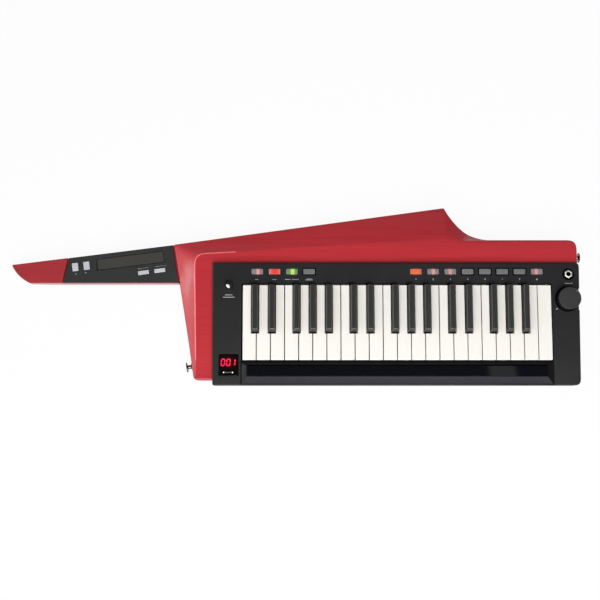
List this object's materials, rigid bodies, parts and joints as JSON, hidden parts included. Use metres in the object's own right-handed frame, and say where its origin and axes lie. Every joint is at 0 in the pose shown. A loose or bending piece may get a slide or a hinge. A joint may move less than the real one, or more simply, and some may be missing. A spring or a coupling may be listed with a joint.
{
  "type": "keytar",
  "caption": "Shoulder-worn keyboard with a carved red wooden body and short neck, hinged piano keys, touch ribbons, lit buttons, volume knob, toggle, phone jack and strap pins.",
  "frame": {"origin": "under the middle of the whole instrument, on the plane its back rests on", "axes": "+X from the neck's tip to the right end of the keyboard, +Y from the player's edge to the fin, +Z out of the playing face"},
  "size_m": [0.8408, 0.2632, 0.0711],
  "materials": {
    "lacquered_wood": "clear red lacquer over solid wood, glossy",
    "black_plastic": "fine satin texture",
    "window": "polished smoked acrylic",
    "ribbon": "smooth, glossy touch strip",
    "grey_ribbon": "smooth, half-gloss touch strip",
    "board": "solder-masked circuit board",
    "chrome": "polished chrome plate",
    "frame_grey": "moulded chassis, matt",
    "clear_caps": "translucent, frosted",
    "silver_caps": "satin silver paint",
    "white_keys": "polished",
    "black_keys": "fine satin"
  },
  "bodies": {
    "instrument": {"body": "lacquered_wood", "battery_cover": "black_plastic", "control_panel": "black_plastic", "display_window": "window", "long_ribbon": "ribbon", "circuit_board": "board", "phone_jack": "chrome", "neck_panel": "black_plastic", "short_ribbon": "grey_ribbon", "strap_pin_left": "chrome", "strap_pin_right": "chrome", "key_frame": "frame_grey"},
    "volume_knob": {"volume_knob": "black_plastic"},
    "toggle_lever": {"toggle_lever": "chrome"},
    "octave_down_button": {"octave_down_button": "silver_caps"},
    "octave_up_button": {"octave_up_button": "silver_caps"},
    "pitch_button": {"pitch_button": "silver_caps"},
    "modulation_button": {"modulation_button": "silver_caps"},
    "function_button_1": {"function_button_1": "clear_caps"},
    "function_button_2": {"function_button_2": "clear_caps"},
    "function_button_3": {"function_button_3": "clear_caps"},
    "function_button_4": {"function_button_4": "clear_caps"},
    "program_buttons": {"program_buttons": "clear_caps"},
    "white_key_01": {"white_key_01": "white_keys"},
    "white_key_02": {"white_key_02": "white_keys"},
    "white_key_03": {"white_key_03": "white_keys"},
    "white_key_04": {"white_key_04": "white_keys"},
    "white_key_05": {"white_key_05": "white_keys"},
    "white_key_06": {"white_key_06": "white_keys"},
    "white_key_07": {"white_key_07": "white_keys"},
    "white_key_08": {"white_key_08": "white_keys"},
    "white_key_09": {"white_key_09": "white_keys"},
    "white_key_10": {"white_key_10": "white_keys"},
    "white_key_11": {"white_key_11": "white_keys"},
    "white_key_12": {"white_key_12": "white_keys"},
    "white_key_13": {"white_key_13": "white_keys"},
    "white_key_14": {"white_key_14": "white_keys"},
    "white_key_15": {"white_key_15": "white_keys"},
    "white_key_16": {"white_key_16": "white_keys"},
    "white_key_17": {"white_key_17": "white_keys"},
    "white_key_18": {"white_key_18": "white_keys"},
    "white_key_19": {"white_key_19": "white_keys"},
    "white_key_20": {"white_key_20": "white_keys"},
    "white_key_21": {"white_key_21": "white_keys"},
    "white_key_22": {"white_key_22": "white_keys"},
    "black_key_01": {"black_key_01": "black_keys"},
    "black_key_02": {"black_key_02": "black_keys"},
    "black_key_03": {"black_key_03": "black_keys"},
    "black_key_04": {"black_key_04": "black_keys"},
    "black_key_05": {"black_key_05": "black_keys"},
    "black_key_06": {"black_key_06": "black_keys"},
    "black_key_07": {"black_key_07": "black_keys"},
    "black_key_08": {"black_key_08": "black_keys"},
    "black_key_09": {"black_key_09": "black_keys"},
    "black_key_10": {"black_key_10": "black_keys"},
    "black_key_11": {"black_key_11": "black_keys"},
    "black_key_12": {"black_key_12": "black_keys"},
    "black_key_13": {"black_key_13": "black_keys"},
    "black_key_14": {"black_key_14": "black_keys"},
    "black_key_15": {"black_key_15": "black_keys"}
  },
  "joints": [
    {"name": "white_key_01_press", "type": "hinge", "parent": "instrument", "child": "white_key_01", "pos_m": [-0.06823, 0.034, 0.035], "axis": [1, 0, 0], "range_deg": [0, 3], "stiffness_Nm_per_rad": 0.6, "springref_deg": -5.73},
    {"name": "white_key_02_press", "type": "hinge", "parent": "instrument", "child": "white_key_02", "pos_m": [-0.04797, 0.034, 0.035], "axis": [1, 0, 0], "range_deg": [0, 3], "stiffness_Nm_per_rad": 0.6, "springref_deg": -5.73},
    {"name": "white_key_03_press", "type": "hinge", "parent": "instrument", "child": "white_key_03", "pos_m": [-0.02771, 0.034, 0.035], "axis": [1, 0, 0], "range_deg": [0, 3], "stiffness_Nm_per_rad": 0.6, "springref_deg": -5.73},
    {"name": "white_key_04_press", "type": "hinge", "parent": "instrument", "child": "white_key_04", "pos_m": [-0.00745, 0.034, 0.035], "axis": [1, 0, 0], "range_deg": [0, 3], "stiffness_Nm_per_rad": 0.6, "springref_deg": -5.73},
    {"name": "white_key_05_press", "type": "hinge", "parent": "instrument", "child": "white_key_05", "pos_m": [0.01281, 0.034, 0.035], "axis": [1, 0, 0], "range_deg": [0, 3], "stiffness_Nm_per_rad": 0.6, "springref_deg": -5.73},
    {"name": "white_key_06_press", "type": "hinge", "parent": "instrument", "child": "white_key_06", "pos_m": [0.03307, 0.034, 0.035], "axis": [1, 0, 0], "range_deg": [0, 3], "stiffness_Nm_per_rad": 0.6, "springref_deg": -5.73},
    {"name": "white_key_07_press", "type": "hinge", "parent": "instrument", "child": "white_key_07", "pos_m": [0.05333, 0.034, 0.035], "axis": [1, 0, 0], "range_deg": [0, 3], "stiffness_Nm_per_rad": 0.6, "springref_deg": -5.73},
    {"name": "white_key_08_press", "type": "hinge", "parent": "instrument", "child": "white_key_08", "pos_m": [0.07359, 0.034, 0.035], "axis": [1, 0, 0], "range_deg": [0, 3], "stiffness_Nm_per_rad": 0.6, "springref_deg": -5.73},
    {"name": "white_key_09_press", "type": "hinge", "parent": "instrument", "child": "white_key_09", "pos_m": [0.09385, 0.034, 0.035], "axis": [1, 0, 0], "range_deg": [0, 3], "stiffness_Nm_per_rad": 0.6, "springref_deg": -5.73},
    {"name": "white_key_10_press", "type": "hinge", "parent": "instrument", "child": "white_key_10", "pos_m": [0.11411, 0.034, 0.035], "axis": [1, 0, 0], "range_deg": [0, 3], "stiffness_Nm_per_rad": 0.6, "springref_deg": -5.73},
    {"name": "white_key_11_press", "type": "hinge", "parent": "instrument", "child": "white_key_11", "pos_m": [0.13437, 0.034, 0.035], "axis": [1, 0, 0], "range_deg": [0, 3], "stiffness_Nm_per_rad": 0.6, "springref_deg": -5.73},
    {"name": "white_key_12_press", "type": "hinge", "parent": "instrument", "child": "white_key_12", "pos_m": [0.15463, 0.034, 0.035], "axis": [1, 0, 0], "range_deg": [0, 3], "stiffness_Nm_per_rad": 0.6, "springref_deg": -5.73},
    {"name": "white_key_13_press", "type": "hinge", "parent": "instrument", "child": "white_key_13", "pos_m": [0.17489, 0.034, 0.035], "axis": [1, 0, 0], "range_deg": [0, 3], "stiffness_Nm_per_rad": 0.6, "springref_deg": -5.73},
    {"name": "white_key_14_press", "type": "hinge", "parent": "instrument", "child": "white_key_14", "pos_m": [0.19515, 0.034, 0.035], "axis": [1, 0, 0], "range_deg": [0, 3], "stiffness_Nm_per_rad": 0.6, "springref_deg": -5.73},
    {"name": "white_key_15_press", "type": "hinge", "parent": "instrument", "child": "white_key_15", "pos_m": [0.21541, 0.034, 0.035], "axis": [1, 0, 0], "range_deg": [0, 3], "stiffness_Nm_per_rad": 0.6, "springref_deg": -5.73},
    {"name": "white_key_16_press", "type": "hinge", "parent": "instrument", "child": "white_key_16", "pos_m": [0.23567, 0.034, 0.035], "axis": [1, 0, 0], "range_deg": [0, 3], "stiffness_Nm_per_rad": 0.6, "springref_deg": -5.73},
    {"name": "white_key_17_press", "type": "hinge", "parent": "instrument", "child": "white_key_17", "pos_m": [0.25593, 0.034, 0.035], "axis": [1, 0, 0], "range_deg": [0, 3], "stiffness_Nm_per_rad": 0.6, "springref_deg": -5.73},
    {"name": "white_key_18_press", "type": "hinge", "parent": "instrument", "child": "white_key_18", "pos_m": [0.27619, 0.034, 0.035], "axis": [1, 0, 0], "range_deg": [0, 3], "stiffness_Nm_per_rad": 0.6, "springref_deg": -5.73},
    {"name": "white_key_19_press", "type": "hinge", "parent": "instrument", "child": "white_key_19", "pos_m": [0.29645, 0.034, 0.035], "axis": [1, 0, 0], "range_deg": [0, 3], "stiffness_Nm_per_rad": 0.6, "springref_deg": -5.73},
    {"name": "white_key_20_press", "type": "hinge", "parent": "instrument", "child": "white_key_20", "pos_m": [0.31671, 0.034, 0.035], "axis": [1, 0, 0], "range_deg": [0, 3], "stiffness_Nm_per_rad": 0.6, "springref_deg": -5.73},
    {"name": "white_key_21_press", "type": "hinge", "parent": "instrument", "child": "white_key_21", "pos_m": [0.33697, 0.034, 0.035], "axis": [1, 0, 0], "range_deg": [0, 3], "stiffness_Nm_per_rad": 0.6, "springref_deg": -5.73},
    {"name": "white_key_22_press", "type": "hinge", "parent": "instrument", "child": "white_key_22", "pos_m": [0.35723, 0.034, 0.035], "axis": [1, 0, 0], "range_deg": [0, 3], "stiffness_Nm_per_rad": 0.6, "springref_deg": -5.73},
    {"name": "black_key_01_press", "type": "hinge", "parent": "instrument", "child": "black_key_01", "pos_m": [-0.06008, 0.034, 0.035], "axis": [1, 0, 0], "range_deg": [0, 3], "stiffness_Nm_per_rad": 0.6, "springref_deg": -5.73},
    {"name": "black_key_02_press", "type": "hinge", "parent": "instrument", "child": "black_key_02", "pos_m": [-0.03586, 0.034, 0.035], "axis": [1, 0, 0], "range_deg": [0, 3], "stiffness_Nm_per_rad": 0.6, "springref_deg": -5.73},
    {"name": "black_key_03_press", "type": "hinge", "parent": "instrument", "child": "black_key_03", "pos_m": [-0.0003, 0.034, 0.035], "axis": [1, 0, 0], "range_deg": [0, 3], "stiffness_Nm_per_rad": 0.6, "springref_deg": -5.73},
    {"name": "black_key_04_press", "type": "hinge", "parent": "instrument", "child": "black_key_04", "pos_m": [0.02294, 0.034, 0.035], "axis": [1, 0, 0], "range_deg": [0, 3], "stiffness_Nm_per_rad": 0.6, "springref_deg": -5.73},
    {"name": "black_key_05_press", "type": "hinge", "parent": "instrument", "child": "black_key_05", "pos_m": [0.04618, 0.034, 0.035], "axis": [1, 0, 0], "range_deg": [0, 3], "stiffness_Nm_per_rad": 0.6, "springref_deg": -5.73},
    {"name": "black_key_06_press", "type": "hinge", "parent": "instrument", "child": "black_key_06", "pos_m": [0.08174, 0.034, 0.035], "axis": [1, 0, 0], "range_deg": [0, 3], "stiffness_Nm_per_rad": 0.6, "springref_deg": -5.73},
    {"name": "black_key_07_press", "type": "hinge", "parent": "instrument", "child": "black_key_07", "pos_m": [0.10596, 0.034, 0.035], "axis": [1, 0, 0], "range_deg": [0, 3], "stiffness_Nm_per_rad": 0.6, "springref_deg": -5.73},
    {"name": "black_key_08_press", "type": "hinge", "parent": "instrument", "child": "black_key_08", "pos_m": [0.14153, 0.034, 0.035], "axis": [1, 0, 0], "range_deg": [0, 3], "stiffness_Nm_per_rad": 0.6, "springref_deg": -5.73},
    {"name": "black_key_09_press", "type": "hinge", "parent": "instrument", "child": "black_key_09", "pos_m": [0.16476, 0.034, 0.035], "axis": [1, 0, 0], "range_deg": [0, 3], "stiffness_Nm_per_rad": 0.6, "springref_deg": -5.73},
    {"name": "black_key_10_press", "type": "hinge", "parent": "instrument", "child": "black_key_10", "pos_m": [0.18799, 0.034, 0.035], "axis": [1, 0, 0], "range_deg": [0, 3], "stiffness_Nm_per_rad": 0.6, "springref_deg": -5.73},
    {"name": "black_key_11_press", "type": "hinge", "parent": "instrument", "child": "black_key_11", "pos_m": [0.22356, 0.034, 0.035], "axis": [1, 0, 0], "range_deg": [0, 3], "stiffness_Nm_per_rad": 0.6, "springref_deg": -5.73},
    {"name": "black_key_12_press", "type": "hinge", "parent": "instrument", "child": "black_key_12", "pos_m": [0.24778, 0.034, 0.035], "axis": [1, 0, 0], "range_deg": [0, 3], "stiffness_Nm_per_rad": 0.6, "springref_deg": -5.73},
    {"name": "black_key_13_press", "type": "hinge", "parent": "instrument", "child": "black_key_13", "pos_m": [0.28335, 0.034, 0.035], "axis": [1, 0, 0], "range_deg": [0, 3], "stiffness_Nm_per_rad": 0.6, "springref_deg": -5.73},
    {"name": "black_key_14_press", "type": "hinge", "parent": "instrument", "child": "black_key_14", "pos_m": [0.30658, 0.034, 0.035], "axis": [1, 0, 0], "range_deg": [0, 3], "stiffness_Nm_per_rad": 0.6, "springref_deg": -5.73},
    {"name": "black_key_15_press", "type": "hinge", "parent": "instrument", "child": "black_key_15", "pos_m": [0.32982, 0.034, 0.035], "axis": [1, 0, 0], "range_deg": [0, 3], "stiffness_Nm_per_rad": 0.6, "springref_deg": -5.73},
    {"name": "octave_down_button_press", "type": "slide", "parent": "instrument", "child": "octave_down_button", "axis": [0, 0, -1], "range_m": [0, 0.0008], "stiffness_N_per_m": 600, "springref_m": -0.0005},
    {"name": "octave_up_button_press", "type": "slide", "parent": "instrument", "child": "octave_up_button", "axis": [0, 0, -1], "range_m": [0, 0.0008], "stiffness_N_per_m": 600, "springref_m": -0.0005},
    {"name": "pitch_button_press", "type": "slide", "parent": "instrument", "child": "pitch_button", "axis": [0, 0, -1], "range_m": [0, 0.0008], "stiffness_N_per_m": 600, "springref_m": -0.0005},
    {"name": "modulation_button_press", "type": "slide", "parent": "instrument", "child": "modulation_button", "axis": [0, 0, -1], "range_m": [0, 0.0008], "stiffness_N_per_m": 600, "springref_m": -0.0005},
    {"name": "function_button_1_press", "type": "slide", "parent": "instrument", "child": "function_button_1", "axis": [0, 0, -1], "range_m": [0, 0.0008], "stiffness_N_per_m": 600, "springref_m": -0.0005},
    {"name": "function_button_2_press", "type": "slide", "parent": "instrument", "child": "function_button_2", "axis": [0, 0, -1], "range_m": [0, 0.0008], "stiffness_N_per_m": 600, "springref_m": -0.0005},
    {"name": "function_button_3_press", "type": "slide", "parent": "instrument", "child": "function_button_3", "axis": [0, 0, -1], "range_m": [0, 0.0008], "stiffness_N_per_m": 600, "springref_m": -0.0005},
    {"name": "function_button_4_press", "type": "slide", "parent": "instrument", "child": "function_button_4", "axis": [0, 0, -1], "range_m": [0, 0.0008], "stiffness_N_per_m": 600, "springref_m": -0.0005},
    {"name": "program_buttons_press", "type": "slide", "parent": "instrument", "child": "program_buttons", "axis": [0, 0, -1], "range_m": [0, 0.0008], "stiffness_N_per_m": 1200, "springref_m": -0.0005},
    {"name": "volume_knob_turn", "type": "hinge", "parent": "instrument", "child": "volume_knob", "pos_m": [0.39216, -0.0069, 0.052], "axis": [0, 0, 1], "range_deg": [-150, 150]},
    {"name": "toggle_lever_flip", "type": "hinge", "parent": "instrument", "child": "toggle_lever", "pos_m": [-0.09856, 0.0134, 0.052], "axis": [1, 0, 0], "range_deg": [-24, 0]}
  ]
}
